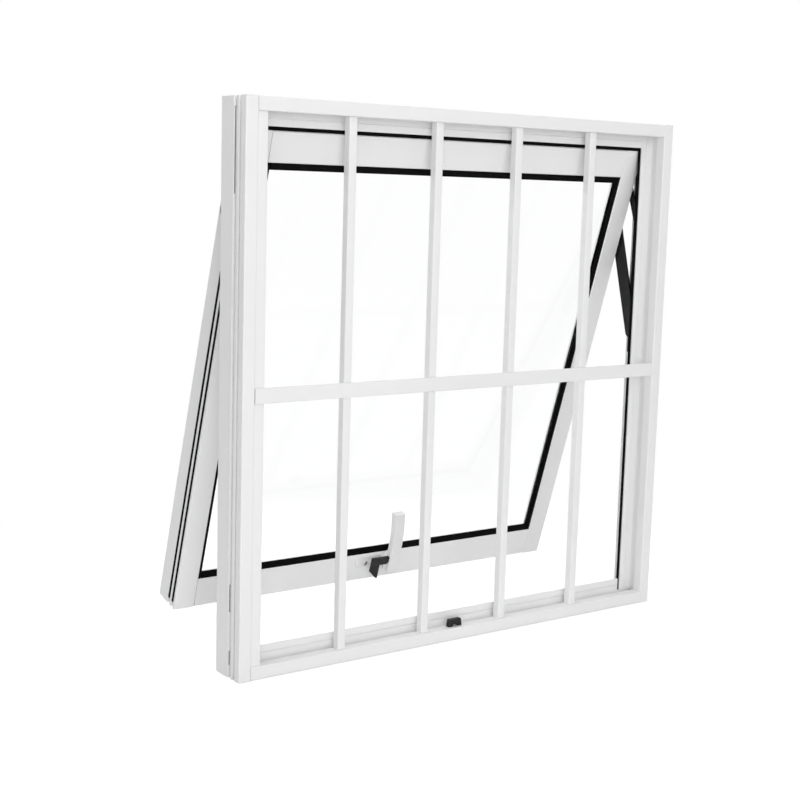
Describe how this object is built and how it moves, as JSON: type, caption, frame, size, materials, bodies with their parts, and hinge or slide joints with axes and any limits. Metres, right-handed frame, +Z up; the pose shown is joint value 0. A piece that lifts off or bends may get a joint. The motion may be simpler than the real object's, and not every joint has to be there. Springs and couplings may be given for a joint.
{
  "type": "top hung awning window",
  "caption": "Square top hung awning window: a glazed leaf swung outward on side stays, a lever catch, and a fixed bar grille on the room side of a slim frame.",
  "frame": {"origin": "middle of the sill's flat underside, under the rear box", "axes": "+Z up, +X to the right as seen from the room, +Y outward from the room"},
  "size_m": [0.6, 0.2262, 0.6],
  "materials": {
    "white_coat": "satin",
    "white_handle": "satin",
    "clear_glass": "clear",
    "black_rubber": "matt",
    "black_metal": "satin",
    "black_plastic": "matt"
  },
  "bodies": {
    "window": {"glass_pane": "clear_glass", "glazing_seal_bottom": "black_rubber", "glazing_seal_left": "black_rubber", "glazing_seal_right": "black_rubber", "glazing_seal_top": "black_rubber", "glazing_tape": "black_rubber", "grille_bar_1": "white_coat", "grille_bar_2": "white_coat", "grille_bar_3": "white_coat", "grille_bar_4": "white_coat", "grille_cross_bar": "white_coat", "grille_side_bar": "white_coat", "handle_base": "white_handle", "head": "white_coat", "head_seal": "black_rubber", "keeper": "black_plastic", "leaf_bottom_rail": "white_coat", "leaf_left_stile": "white_coat", "leaf_right_stile": "white_coat", "leaf_top_rail": "white_coat", "left_jamb": "white_coat", "left_seal": "black_rubber", "left_stay_arm": "black_metal", "left_stay_link": "black_metal", "left_stay_plate": "black_metal", "left_stay_track": "black_metal", "right_jamb": "white_coat", "right_seal": "black_rubber", "right_stay_arm": "black_metal", "right_stay_link": "black_metal", "right_stay_plate": "black_metal", "right_stay_track": "black_metal", "sill": "white_coat", "sill_seal": "black_rubber", "weatherstrip_bottom_inner": "black_rubber", "weatherstrip_bottom_outer": "black_rubber", "weatherstrip_left_inner": "black_rubber", "weatherstrip_left_outer": "black_rubber", "weatherstrip_right_inner": "black_rubber", "weatherstrip_right_outer": "black_rubber", "weatherstrip_top_inner": "black_rubber", "weatherstrip_top_outer": "black_rubber"},
    "lever": {"handle_lever": "white_handle", "handle_tongue": "black_plastic"}
  },
  "joints": [
    {"name": "lever_turn", "type": "hinge", "parent": "window", "child": "lever", "pos_m": [0.0155, 0.14306, 0.05229], "axis": [0, 0.9578, 0.2874], "range_deg": [0, 90]}
  ]
}
